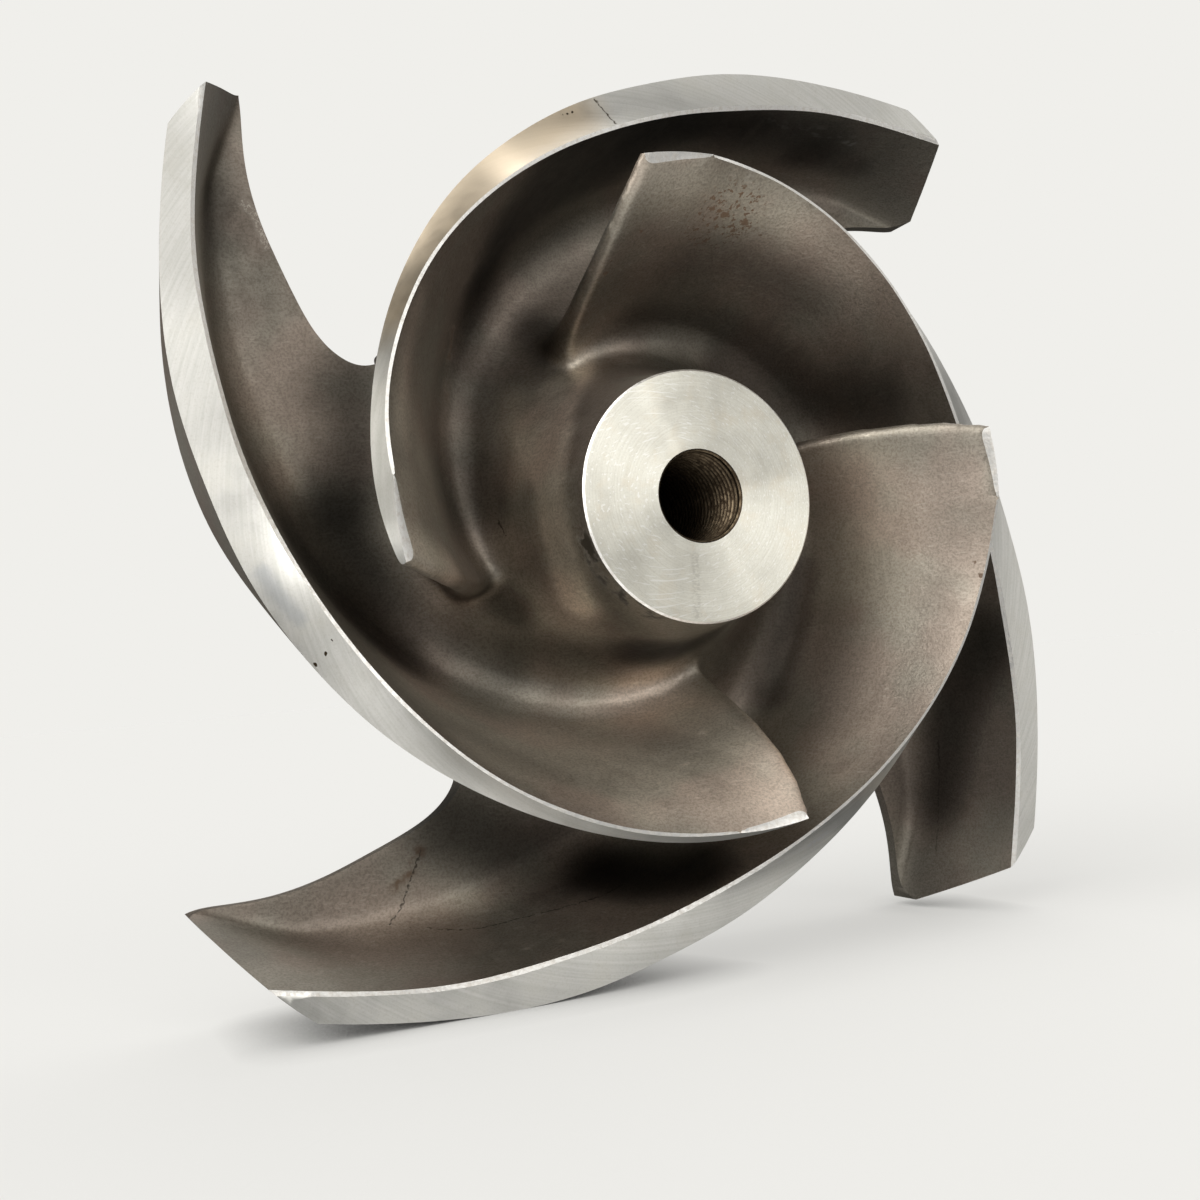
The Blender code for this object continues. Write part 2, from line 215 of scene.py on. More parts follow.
# Marks on the metal, in millimetres about the shaft axis: round ones have a radius,
# and the rest are lines.
FAR_OFF = 1000.0
RUST_CLUSTER = [(13.0, 3.0, 60.0, 8.0)]
MARKS_OF_RUST = [(9.4, 0.8, 60.9, 0.7), (13.2, 2.4, 60.4, 0.9), (15.6, 0.5, 61.9, 0.5),
                 (19.2, 4.1, 59.6, 0.8), (12.6, 5.2, 58.7, 0.45), (17.3, 6.2, 58.4, 0.5),
                 (-7.0, 2.5, 55.7, 0.45), (-3.5, 5.5, 54.9, 0.4), (24.2, 6.5, 57.7, 0.4),
                 (19.5, -1.6, 63.3, 0.35), (-12.2, 10.0, 48.5, 0.8), (-11.9, 7.2, 50.4, 0.5),
                 (64.9, -4.0, -17.3, 0.35), (65.4, -4.9, -20.4, 0.5)]
CRACKS = [[(-10.2, 23.2, 42.5), (-10.6, 24.4, 41.8), (-10.9, 25.7, 40.9)],
          [(-59.1, 53.1, -86.7), (-51.6, 51.6, -87.2), (-44.9, 47.7, -88.2), (-39.8, 45.4, -88.2),
           (-30.9, 43.7, -87.2), (-22.4, 40.8, -85.9), (-13.9, 37.5, -84.1), (-7.7, 37.1, -81.8)],
          [(-59.1, 53.1, -86.7), (-54.4, 54.7, -82.1), (-49.4, 54.2, -70.6)],
          [(-36.4, 34.3, 9.5), (-34.7, 30.6, 3.4), (-33.0, 27.5, -3.5)]]
FINE_CRACKS = [[(-54.3, 12.4, 10.4), (-53.7, 11.3, 4.2), (-53.4, 8.6, -2.1), (-54.4, 4.5, -6.5)],
               [(89.1, 46.6, -59.7), (88.1, 47.5, -73.9), (84.3, 45.6, -87.5)]]
RUST_LINES = [[(-37.8, 37.0, 43.2), (-39.7, 39.3, 34.8), (-41.7, 38.2, 25.7), (-43.2, 35.9, 16.5)],
              [(-49.4, 54.2, -70.6), (-52.0, 54.4, -74.7), (-56.0, 54.6, -78.0)]]
SCRAPES = [[(-77.7, 54.8, 75.7), (-75.1, 54.8, 72.9), (-74.0, 54.8, 69.1), (-73.4, 54.7, 66.4)]]
BRUSHED = [[(41.5, 24.8, 92.7), (52.4, 28.8, 92.8), (60.8, 30.6, 92.4), (68.6, 31.4, 91.6)]]
HUB_CRUST = [[(-25.2, 3.1, -8.1), (-23.3, 3.3, -12.6), (-20.0, 3.0, -17.4), (-15.8, 2.6, -21.1),
              (-12.5, 2.6, -23.3)]]
OVEN_TINT = [[(-60.2, 1.2, 39.3), (-52.4, 4.0, 51.2), (-38.6, 10.0, 67.1), (-27.2, 14.6, 78.1),
              (-16.3, 17.2, 86.1)]]
FRONT_CRACK = [[(-7.4, 18.3, 90.2), (-5.6, 17.0, 86.9), (-4.2, 15.5, 84.0)]]
FRONT_SMUDGE = [[(-86.9, 17.1, -9.8), (-84.0, 16.2, -15.0), (-81.1, 15.0, -19.1)]]
FRONT_PITS = [(-78.6, 15.1, -28.1, 0.35), (-76.9, 13.5, -26.2, 0.3), (-75.8, 12.0, -23.8, 0.2),
              (-14.7, 17.0, 85.9, 0.35), (-13.6, 17.0, 86.5, 0.25),
              (-15.7, 17.0, 85.5, 0.2), (-12.6, 17.0, 86.9, 0.15)]
# Darker and lighter areas of the cast skin, partly painted shade in the channels and at the vanes'
# feet, partly painted highlights on fillets and walls, partly real stains: stops of brightness, reach,
# line.
SKIN_PAINTED_LIGHT_AND_STAINS = [
    (-2.4, 9, [(-65, 51, 2), (-59, 50, -14), (-52, 47, -24)]),
    (-1.8, 10, [(-56, 51, 33), (-59, 51, 22), (-61, 50, 13)]),
    (-0.6, 6, [(-62, 50, -5), (-60, 50, -14)]),
    (-2.6, 8, [(4, 31, 82), (-12, 31, 74), (-25, 31, 64), (-30, 38, 55)]),
    (-1.3, 8, [(17, 25, 88), (-1, 19, 83), (-12, 17, 78), (-21, 19, 72), (-27, 23, 65), (-30, 30, 59)]),
    (-1.0, 5, [(-30, 38, 55), (-32, 45, 43), (-33, 38, 23)]),
    (-1.2, 5, [(-15, 31, 36), (-15, 44, 46)]),
    (-1.5, 8, [(6, 32, 44), (23, 35, 44), (38, 38, 39), (54, 42, 29), (65, 28, 25)]),
    (-1.5, 6, [(-38, 41, -22), (-21, 33, -30), (-5, 24, -31), (10, 20, -30)]),
    (-1.6, 5, [(44, 36, -14), (42, 38, -26), (36, 40, -42)]),
    (-2.0, 8, [(91, 27, -35), (91, 38, -47), (90, 44, -60), (88, 47, -73)]),
    (-2.0, 9, [(-42, 53, -65), (-26, 53, -74), (-10, 48, -78), (4, 28, -79)]),
    (-1.6, 4, [(-33, 34, -17), (-30, 32, -19)]),
    (-0.7, 4, [(-83, 52, 86), (-84, 55, 69)]),
    (-1.0, 5, [(59, 40, 91), (74, 40, 89)]),
    (-0.5, 6, [(-92, 40, -84), (-96, 51, -80)]),
    (0.9, 6, [(-66, 52, 23), (-66, 52, 13)]),
    (2.1, 5, [(-12, 32, 35), (-23, 20, 20), (-27, 13, 6), (-27, 12, -8), (-22, 16, -19)]),
    (1.3, 5, [(2, 34, 37), (11, 36, 39), (21, 39, 40)]),
    (0.8, 5, [(-25, 33, 27), (-30, 24, 10)]),
    (1.1, 14, [(-50, 30, -37), (-30, 24, -48), (-14, 11, -55), (2, -2, -61)]),
    (0.9, 7, [(-11, 35, -43), (-2, 29, -45), (5, 22, -46)]),
    (0.7, 6, [(-50, 10, -46), (-35, 3, -58), (-21, -1, -63)]),
    (0.7, 8, [(9, 25, -43), (9, 2, -55), (10, -8, -64)]),
    (0.9, 10, [(46, 14, 11), (53, 11, -1), (53, 15, -14), (50, 17, -32), (43, 17, -50), (34, 16, -63)]),
    (0.5, 9, [(-10, -9, 64), (9, -3, 63), (28, 4, 58)]),
    (0.9, 5, [(-65, -10, -9), (-54, 3, -13)]),
    (0.6, 9, [(86, 38, -87), (88, 38, -80)]),
    (0.6, 5, [(-56, 3, 40), (-63, -1, 16)]),
    (0.5, 8, [(-60, 55, -85), (-43, 54, -84)]),
    (-1.6, 8, [(-20, 11, 75), (-3, 16, 83), (22, 24, 90), (48, 31, 92), (60, 34, 92)]),
    (-0.7, 8, [(12, 14, 52), (24, 12, 53), (40, 17, 47)]),
    (0.5, 8, [(-5, -8, 64), (8, -5, 64), (26, 1, 60), (44, 6, 52)]),
    (-0.6, 9, [(47, 21, -32), (42, 23, -45)]),
    (0.4, 7, [(48, 11, 6), (48, 17, -5)]),
    (-0.35, 7, [(58, 4, -25), (51, 8, -42)]),
    (-0.35, 7, [(1, 3, -55), (5, -5, -61)]),
    (-1.8, 7, [(-36, 33, 5), (-36, 34, 12)]),
    (0.45, 8, [(-54, 9, 12), (-59, 3, 20), (-64, -7, 5)]),
    (-0.5, 6, [(-5, 48, 71), (-17, 44, 64)]),
    (-0.6, 7, [(-64, 51, 8), (-62, 51, 15)]),
    (0.7, 8, [(-46, 45, -20), (-38, 42, -25)]),
    (1.5, 6, [(-26, 16, 13), (-24, 23, 20)]),
    (-0.9, 6, [(-20, 11, -20), (-15, 13, -24), (-6, 22, -30)]),
    (-0.5, 8, [(-76, 55, 76), (-73, 55, 58), (-82, 55, 54)]),
    (-0.8, 4, [(-84, 54, 76), (-85, 54, 64)]),
    (0.8, 6, [(2, 29, -37), (-3, 36, -39)]),
    (-0.2, 6, [(-31, 54, -78), (-24, 53, -79)]),
    (-2.4, 7, [(-10, 46, -80), (-4, 32, -81), (5, 25, -80)]),
    (1.2, 6, [(-32, 30, 56), (-31, 40, 52)]),
    (-1.2, 6, [(5, 19, 86), (22, 24, 90), (38, 28, 91)]),
    (-1.5, 5, [(-6, 22, -30), (2, 24, -31)]),
    (-1.2, 6, [(-32, 41, -32), (-38, 43, -30)])]
# The same for the turned vane fronts: partly painted shade and highlights, partly real stains.
FRONT_PAINTED_LIGHT_AND_STAINS = [
    (-1.1, 8, [(-63, -2, 33), (-59, 0, 41)]),
    (-0.4, 9, [(-97, 22, 74), (-96, 22, 64), (-97, 22, 52)]),
    (-0.35, 8, [(-65, 10, -42), (-58, 7, -48)]),
    (0.3, 8, [(-92, 19, 8), (-90, 18, 0)]),
    (-0.25, 9, [(-9, 17, 86), (30, 19, 95), (66, 22, 98)]),
    (0.5, 9, [(19, 15, -81), (29, 13, -75)]),
    (0.25, 9, [(-69, 22, -96), (-23, 19, -92)])]
MOST_STOPS = 1.15
# An area fades out at this many times its reach.
AREA_FADE = 1.7
TURNED_ROUGHNESS = 0.33
HUB_SCORE = [[(-2.6, 0.0, -12.5), (-3.4, 0.0, -24.5)]]


def natural_cubic(x, y, at):
    """Values of the natural cubic spline through x, y."""
    n = len(x)
    h = np.diff(x)
    system = np.eye(n)
    right = np.zeros(n)
    for i in range(1, n - 1):
        system[i, i - 1] = h[i - 1]
        system[i, i] = 2 * (h[i - 1] + h[i])
        system[i, i + 1] = h[i]
        right[i] = 3 * ((y[i + 1] - y[i]) / h[i] - (y[i] - y[i - 1]) / h[i - 1])
    bend = np.linalg.solve(system, right)
    k = np.clip(np.searchsorted(x, at) - 1, 0, n - 2)
    d = at - x[k]
    slope = (y[k + 1] - y[k]) / h[k] - h[k] * (2 * bend[k] + bend[k + 1]) / 3
    return y[k] + slope * d + bend[k] * d ** 2 + (bend[k + 1] - bend[k]) / (3 * h[k]) * d ** 3


def around_axis(angle_deg, radius, depth):
    """Angle, radius and depth to x, y, z in millimetres about the shaft axis."""
    a = np.radians(np.asarray(angle_deg, dtype=float))
    return np.stack(np.broadcast_arrays(radius * np.cos(a), depth, radius * np.sin(a)), axis=-1)


def turned_by(points, degrees):
    """Points in millimetres about the shaft axis, turned about it."""
    a = radians(degrees)
    x = points[..., 0] * np.cos(a) - points[..., 2] * np.sin(a)
    z = points[..., 0] * np.sin(a) + points[..., 2] * np.cos(a)
    return np.stack([x, points[..., 1], z], axis=-1)


def to_part(points):
    """Millimetres about the shaft axis to metres in the part's frame."""
    p = turned_by(np.asarray(points, dtype=float).reshape(-1, 3), STANCE_TURN)
    return (p + np.array([0.0, -SEAT_DEPTH, AXIS_ABOVE_ORIGIN])) * MM


def swept_line(points, count):
    """Smooth line through (angle, radius) points, resampled at even steps."""
    p = np.array(points, dtype=float)
    flat = around_axis(p[:, 0], p[:, 1], 0.0)
    s = np.concatenate([[0.0], np.cumsum(np.linalg.norm(np.diff(flat, axis=0), axis=1))])
    at = np.linspace(0.0, s[-1], count)
    return np.stack([natural_cubic(s, p[:, 0], at), natural_cubic(s, p[:, 1], at)], axis=1)


def depth_on(profile, radius):
    """Depth of a turned profile at a radius."""
    p = np.array(profile)
    return natural_cubic(p[:, 0], p[:, 1], np.clip(radius, p[0, 0], p[-1, 0]))


def smooth_profile(profile, steps):
    """More points on the smooth curve through a turned profile."""
    p = np.array(profile)
    s = np.concatenate([[0.0], np.cumsum(np.hypot(np.diff(p[:, 0]), np.diff(p[:, 1])))])
    at = np.linspace(0.0, s[-1], steps)
    return list(zip(natural_cubic(s, p[:, 0], at), natural_cubic(s, p[:, 1], at)))


def linked(name, data):
    """New object in the scene."""
    made = bpy.data.objects.new(name, data)
    bpy.context.scene.collection.objects.link(made)
    return made


def mesh_object(name, verts, faces, kind="cast"):
    """Closed mesh object with its faces turned outward, all of one kind of surface."""
    mesh = bpy.data.meshes.new(name)
    mesh.from_pydata([tuple(v) for v in verts], [], faces)
    bm = bmesh.new()
    bm.from_mesh(mesh)
    bmesh.ops.remove_doubles(bm, verts=bm.verts, dist=1e-6)
    bmesh.ops.dissolve_degenerate(bm, edges=bm.edges, dist=1e-7)
    bmesh.ops.recalc_face_normals(bm, faces=bm.faces)
    if bm.calc_volume(signed=True) < 0:
        bmesh.ops.reverse_faces(bm, faces=bm.faces)
    for face in bm.faces:
        face.material_index = FACES.index(kind)
    bm.to_mesh(mesh)
    bm.free()
    for label in FACES:
        mesh.materials.append(None)
    return linked(name, mesh)


def tube_faces(rings, size):
    """Quads between consecutive closed rings, with both ends filled."""
    faces = []
    for i in range(rings - 1):
        for j in range(size):
            k = (j + 1) % size
            faces.append((i * size + j, i * size + k, (i + 1) * size + k, (i + 1) * size + j))
    faces.append(tuple(reversed(range(size))))
    faces.append(tuple(range((rings - 1) * size, rings * size)))
    return faces


def wheel_faces(segments, size):
    """Quads between the closed rings of a turned solid, the last joined to the first."""
    faces = []
    for i in range(segments):
        n = (i + 1) % segments
        for j in range(size):
            k = (j + 1) % size
            faces.append((i * size + j, n * size + j, n * size + k, i * size + k))
    return faces


def turned(name, outline, segments, kind="cast"):
    """Solid turned about the shaft axis from a closed (radius, depth) outline."""
    outline = np.array(outline, dtype=float)
    size = len(outline)
    rings = [around_axis(360.0 * i / segments, outline[:, 0], outline[:, 1]) for i in range(segments)]
    return mesh_object(name, to_part(np.concatenate(rings)), wheel_faces(segments, size), kind)


def rim_radius(angle_deg):
    """Radius of the turned rim, rounded at each vane's convex corner and worn at two tips."""
    past_corner = (angle_deg - TIP_CORNER) % QUARTER
    rounding = TIP_ROUNDING * min(past_corner, QUARTER / 10.0) ** 2 * (past_corner < QUARTER / 2)
    worn = 0.0
    for tip, depth in WORN_TIPS:
        if abs((angle_deg - tip + 180.0) % 360.0 - 180.0) < WORN_SPREAD:
            worn = depth
    return RIM_RADIUS - rounding - worn


def rim_tool(segments):
    """Ring that turns the rim to its radius."""
    rings = []
    for i in range(segments):
        angle = 360.0 * i / segments
        inner = rim_radius(angle)
        outline = np.array([(inner, CLEAR_FRONT), (CLEAR_RADIUS, CLEAR_FRONT),
                            (CLEAR_RADIUS, CLEAR_BACK), (inner, CLEAR_BACK)])
        rings.append(around_axis(angle, outline[:, 0], outline[:, 1]))
    points = to_part(np.concatenate(rings))
    return mesh_object("rim_tool", points, wheel_faces(segments, 4), "turned_front")


def wall_side(root, top, across, flare, bow):
    """Points up one side of a vane: fillet from the shroud, wall, spare top."""
    base = np.array([root[0], root[1], depth_on(FLOW_PROFILE, root[1]) + BURIED])
    front = np.array([top[0], top[1], depth_on(FRONT_PROFILE, top[1])])
    wall = []
    for f in WALL_STEPS:
        p = base + (front - base) * f
        bulge = bow * 4.0 * f * (1.0 - f)
        p += np.array([LEAD_TURN * bulge, 0.0, -bulge])
        wall.append(around_axis(*p))
    base = around_axis(*base)
    foot = base + across * flare
    foot[1] = depth_on(FLOW_PROFILE, np.hypot(foot[0], foot[2])) + BURIED
    bend = [(1 - t) ** 2 * foot + 2 * t * (1 - t) * base + t * t * wall[0] for t in FILLET_STEPS]
    over = wall[-1] + (wall[-1] - wall[-2]) / np.linalg.norm(wall[-1] - wall[-2]) * SPARE
    return np.array(bend + wall + [over])


def unit(directions):
    return directions / np.linalg.norm(directions, axis=1, keepdims=True)


def outside_of(line):
    """Unit directions square to a swept line, in the plane of the shroud."""
    flat = around_axis(line[:, 0], line[:, 1], 0.0)
    run = np.gradient(flat, axis=0)
    return unit(np.stack([-run[:, 2], run[:, 1], run[:, 0]], axis=-1))


def lead_bow(along):
    """How far a vane's wall bows forward, at a share of its length from the leading edge."""
    return LEAD_BOW * np.maximum(0.0, 1.0 - along / BOWED_LENGTH) ** 1.5


def vane_rings(stations):
    """Closed rings of points across one vane, from its leading edge outwards."""
    corners = (CONCAVE_ROOT, CONVEX_ROOT, CONCAVE_FRONT, CONVEX_FRONT)
    lines = [swept_line(points, stations) for points in corners]
    inward, outward = -outside_of(lines[0]), outside_of(lines[1])
    rings = []
    for u in range(stations):
        root_in, root_out, top_in, top_out = [line[u] for line in lines]
        bow = lead_bow(u / stations)
        start = min(1.0, LEAD_FILLET + LEAD_GROWTH * u / stations)
        from_rim = max(RIM_RADIUS - root_in[1], 0.0)
        from_end = max(HUB_FILLET_END - root_out[1], 0.0)
        flare_in = start * min(FILLET_MOST, FILLET_LEAST + FILLET_PER_MM * from_rim)
        flare_out = start * HUB_FILLET * min(1.0, from_end / HUB_FILLET_FADE)
        inner = wall_side(root_in, top_in, inward[u], flare_in, bow)
        outer = wall_side(root_out, top_out, outward[u], flare_out, bow)
        rings.append(np.concatenate([inner, outer[::-1]]))
    return nose_rings(rings[0], rings[1]) + rings


def nose_rings(first, second):
    """Rings that round the leading edge in front of a vane's first ring."""
    middle = (first + first[::-1]) / 2
    ahead = unit(first - second)
    ahead = (ahead + ahead[::-1]) / 2
    rings = []
    for step in NOSE_STEPS:
        width = max(NOSE_LEAST, np.sqrt(1.0 - step ** 2))
        rings.append(middle + (first - middle) * width + ahead * NOSE_LENGTH * step)
    return rings


def vane(name, turn, stations):
    """Blank of one vane, with spare metal in front and beyond the rim."""
    rings = vane_rings(stations)
    points = turned_by(np.concatenate(rings), turn)
    return mesh_object(name, to_part(points), tube_faces(len(rings), len(rings[0])))


def spare_scallop():
    """The scallop's line moved out by the spare metal that is trimmed off later."""
    line = swept_line(SCALLOP, 24)
    flat = around_axis(line[:, 0], line[:, 1], 0.0) - outside_of(line) * TRIM_SIDE * TRIM_SPARE
    return list(zip(np.degrees(np.arctan2(flat[:, 2], flat[:, 0])), np.hypot(flat[:, 0], flat[:, 2])))


def scallop_tool(k, stations):
    """Bar swept along the edge of a scallop, which trims the fused shroud to it."""
    line = swept_line(TIP_TURN + SCALLOP[3:], stations)
    away = -outside_of(line) * TRIM_SIDE
    edge = around_axis(line[:, 0], line[:, 1], 0.0) - away * TRIM_BACK[k]
    rings = []
    for p, d in zip(edge, away):
        low = np.array([0.0, TRIM_FRONT, 0.0])
        high = np.array([0.0, CLEAR_BACK, 0.0])
        far = p + d * TRIM_WIDTH
        rings.append(np.array([p + low, far + low, far + high, p + high]))
    points = turned_by(np.concatenate(rings), -QUARTER * k)
    return mesh_object("scallop_tool", to_part(points), tube_faces(len(rings), 4))


def shroud(name, segments):
    """Hub and back shroud turned whole, then cut to the scalloped outline."""
    edge_radius = FLOW_PROFILE[-1][0]
    core = BORE_RADIUS / 2
    back = [(edge_radius, SHROUD_BACK), (BOSS_RADIUS, SHROUD_BACK), (SEAT_RADIUS, SEAT_DEPTH),
            (SEAT_RADIUS, SEAT_DEPTH + SPARE), (core, SEAT_DEPTH + SPARE),
            (core, FLOW_PROFILE[0][1])]
    body = turned(name, smooth_profile(FLOW_PROFILE, 30) + back, segments)
    edge = []
    for k in range(VANES):
        turn = -QUARTER * k
        edge += [(a + turn, r) for a, r in spare_scallop()]
        edge += [(a + turn - QUARTER, r) for a, r in SHROUD_EDGE]
    edge = np.array(edge)
    low = around_axis(edge[:, 0], edge[:, 1], CLEAR_FRONT)
    high = around_axis(edge[:, 0], edge[:, 1], CLEAR_BACK)
    outline = mesh_object("scalloped_outline", to_part(np.concatenate([low, high])),
                          tube_faces(2, len(edge)))
    return combined(body, outline, "INTERSECT")


def applied(obj):
    """Give an object its mesh with all its modifiers applied."""
    graph = bpy.context.evaluated_depsgraph_get()
    mesh = bpy.data.meshes.new_from_object(obj.evaluated_get(graph))
    obj.modifiers.clear()
    obj.data = mesh
    return obj


def combined(target, tool, operation):
    """Apply one exact Boolean and drop its tool."""
    mod = target.modifiers.new(tool.name, "BOOLEAN")
    mod.operation = operation
    mod.solver = "EXACT"
    mod.object = tool
    applied(target)
    bpy.data.objects.remove(tool, do_unlink=True)
    return target


def keep_largest(obj):
    """Drop the specks and closed pockets that fusing leaves inside a mesh."""
    edges = np.zeros(len(obj.data.edges) * 2, dtype=np.int64)
    obj.data.edges.foreach_get("vertices", edges)
    edges = edges.reshape(-1, 2)
    label = np.arange(len(obj.data.vertices))
    while True:
        low = np.minimum(label[edges[:, 0]], label[edges[:, 1]])
        before = label.copy()
        np.minimum.at(label, edges[:, 0], low)
        np.minimum.at(label, edges[:, 1], low)
        label = label[label]
        if np.array_equal(before, label):
            break
    names, counts = np.unique(label, return_counts=True)
    keep = names[counts.argmax()]
    bm = bmesh.new()
    bm.from_mesh(obj.data)
    stray = [v for v, name in zip(bm.verts, label) if name != keep]
    bmesh.ops.delete(bm, geom=stray, context="VERTS")
    bm.to_mesh(obj.data)
    bm.free()


def casting(name):
    """The raw casting, run together with soft fillets, before it is machined."""
    blanks = [shroud("hub_and_shroud", SEGMENTS)]
    blanks += [vane("vane_blank", -QUARTER * k, STATIONS) for k in range(VANES)]
    bm = bmesh.new()
    for blank in blanks:
        bm.from_mesh(blank.data)
        bpy.data.objects.remove(blank, do_unlink=True)
    mesh = bpy.data.meshes.new(name)
    bm.to_mesh(mesh)
    bm.free()
    for label in FACES:
        mesh.materials.append(None)
    body = linked(name, mesh)
    fuse = body.modifiers.new("fuse", "REMESH")
    fuse.mode = "VOXEL"
    fuse.voxel_size = VOXEL * MM
    fillet = body.modifiers.new("fillet", "SMOOTH")
    fillet.factor = 0.5
    fillet.iterations = FILLET_PASSES
    keep_largest(applied(body))
    thin = body.modifiers.new("thin", "DECIMATE")
    thin.ratio = KEEP_RATIO
    return applied(body)


def dressing_tool(turn, stations):
    """Bar swept along a vane's concave front corner, which takes the corner off."""
    line = swept_line(CONCAVE_FRONT, stations)
    root = swept_line(CONCAVE_ROOT, stations)
    corner = around_axis(line[:, 0], line[:, 1], depth_on(FRONT_PROFILE, line[:, 1]))
    at = np.linspace(0.0, 1.0, stations)
    foot_depth = depth_on(FLOW_PROFILE, root[:, 1]) - WALL_LEAN_PER_BOW * lead_bow(at)
    foot = around_axis(root[:, 0], root[:, 1], foot_depth)
    down = unit(foot - corner)
    run = unit(np.gradient(corner, axis=0))
    channel = unit(np.cross(down, run))
    inward = -outside_of(line)
    channel *= np.sign((channel * inward).sum(axis=1, keepdims=True))
    slope = (depth_on(FRONT_PROFILE, line[:, 1] + 0.1)
             - depth_on(FRONT_PROFILE, line[:, 1] - 0.1)) / 0.2
    facing = unit(around_axis(line[:, 0], slope, 0.0) + np.array([0.0, -1.0, 0.0]))
    onto = np.cross(run, facing)
    onto = unit(onto * -np.sign((onto * channel).sum(axis=1, keepdims=True)))
    lead = np.clip(1.0 - at / DRESSED_LEAD_LENGTH, 0.0, 1.0)
    ripple = sum(high * np.sin(at * waves + start * turn) for high, waves, start in DRESSED_RIPPLES)
    leg = (DRESSED_WIDTH + (DRESSED_LEAD - DRESSED_WIDTH) * lead + ripple)[:, None]
    on_front = corner + onto * leg
    on_wall = corner + down * leg
    along = unit(on_front - on_wall)
    outer = unit(facing + channel)
    a = on_front + along * DRESSING_OVERRUN
    b = on_wall - along * DRESSING_OVERRUN
    thick = outer * DRESSING_THICKNESS
    rings = np.stack([a, b, b + thick, a + thick], axis=1)
    ahead = unit(rings[0] - rings[1])
    rings = np.concatenate([(rings[0] + ahead * DRESSING_THICKNESS)[None], rings])
    points = turned_by(rings.reshape(-1, 3), turn)
    return mesh_object("dressing_tool", to_part(points), tube_faces(len(rings), 4), "dressed_edge")


def thread_tool(segments, steps_per_turn):
    """Threaded rod that cuts the bore's internal thread."""
    shape = np.abs(np.arange(steps_per_turn) / steps_per_turn * 2.0 - 1.0)
    shape = np.clip((shape - THREAD_ROOT_FLAT) / (1.0 - 2.0 * THREAD_ROOT_FLAT), 0.0, 1.0)
    turns = int(np.ceil((SEAT_DEPTH + THREAD_EXTRA) / THREAD_PITCH))
    rings = []
    for t in range(turns):
        for j, lift in enumerate(shape):
            angle = np.arange(segments) * 360.0 / segments
            risen = t + j / steps_per_turn + np.arange(segments) / segments
            depth = THREAD_BEGINS + THREAD_PITCH * risen
            fade = np.clip((depth - THREAD_FADE_FROM) / THREAD_FADE_LENGTH, 0.0, 1.0)
            radius = BORE_RADIUS + THREAD_DEPTH * lift * fade
            rings.append(around_axis(angle, radius, depth))
    size = segments
    count = len(rings)
    points = np.concatenate(rings)
    faces = []
    for i in range(count - 1):
        for j in range(size):
            a = i * size + j
            if j + 1 < size:
                faces.append((a, a + 1, a + size + 1, a + size))
            elif i + steps_per_turn + 1 < count:
                b = (i + steps_per_turn) * size
                faces.append((a, b, b + size, a + size))
    start = list(range(size)) + [i * size for i in range(steps_per_turn, 0, -1)]
    last = (count - 1) * size
    first_end = count - 1 - steps_per_turn
    end = [last + j for j in range(size)]
    end += [i * size + size - 1 for i in range(count - 2, first_end - 1, -1)]
    faces.append(tuple(start))
    faces.append(tuple(end))
    return mesh_object("thread_tool", to_part(points), faces, "bore_thread")


def machined(body):
    """Turn the front, rim, hub face and rear seat, thread the bore, dress the edges."""
    front = [(CLEAR_RADIUS, CLEAR_FRONT), (HUB_CLEAR, CLEAR_FRONT),
             (HUB_CLEAR, FRONT_PROFILE[0][1])]
    front += smooth_profile(FRONT_PROFILE, 44) + [(CLEAR_RADIUS, FRONT_PROFILE[-1][1])]
    face = [(0.0, CLEAR_FRONT), (HUB_CLEAR, CLEAR_FRONT), (HUB_CLEAR, 0.0), (0.0, 0.0)]
    seat = [(0.0, SEAT_DEPTH), (SEAT_CUT_RADIUS, SEAT_DEPTH), (SEAT_CUT_RADIUS, CLEAR_BACK),
            (0.0, CLEAR_BACK)]
    hub_edge = [(HUB_RADIUS - HUB_CHAMFER_WIDTH, -0.1), (HUB_RADIUS + 1.0, -0.1),
                (HUB_RADIUS + 1.0, HUB_CHAMFER_DEPTH)]
    mouth = BORE_RADIUS + BORE_CHAMFER
    plain = BORE_RADIUS - BORE_SPARE
    bore = [(0.0, CLEAR_FRONT), (mouth, CLEAR_FRONT), (mouth, 0.0), (plain, BORE_CHAMFER),
            (plain, SEAT_DEPTH - BORE_CHAMFER), (mouth, SEAT_DEPTH), (mouth, CLEAR_BACK),
            (0.0, CLEAR_BACK)]
    cuts = [turned("front_cut", front, 2 * SEGMENTS, "turned_front"),
            rim_tool(4 * SEGMENTS),
            turned("face_cut", face, SEGMENTS, "turned_hub"),
            turned("seat_cut", seat, SEGMENTS, "turned_hub"),
            turned("hub_edge_cut", hub_edge, SEGMENTS, "dressed_edge"),
            turned("bore_cut", bore, BORE_SEGMENTS, "bore_thread")]
    cuts += [scallop_tool(k, SCALLOP_STATIONS) for k in range(VANES)]
    cuts += [dressing_tool(-QUARTER * k, DRESSING_STATIONS) for k in range(VANES)]
    cuts.append(thread_tool(THREAD_SEGMENTS, THREAD_STEPS))
    for tool in cuts:
        combined(body, tool, "DIFFERENCE")
    keep_largest(body)
    return body


def impeller_piece():
    """The whole impeller as one shaded piece."""
    piece = machined(casting("impeller_casting"))
    for face in piece.data.polygons:
        face.use_smooth = True
    piece.data.set_sharp_from_angle(angle=radians(35))
    return piece


def node(tree, kind, **settings):
    made = tree.nodes.new(kind)
    for name, value in settings.items():
        setattr(made, name, value)
    return made


def feed(tree, socket, value):
    if isinstance(value, bpy.types.NodeSocket):
        tree.links.new(value, socket)
    elif value is not None:
        socket.default_value = value


def calc(tree, operation, a, b=None, c=None, clamp=False):
    made = node(tree, "ShaderNodeMath", operation=operation, use_clamp=clamp)
    for socket, value in zip(made.inputs, (a, b, c)):
        feed(tree, socket, value)
    return made.outputs[0]


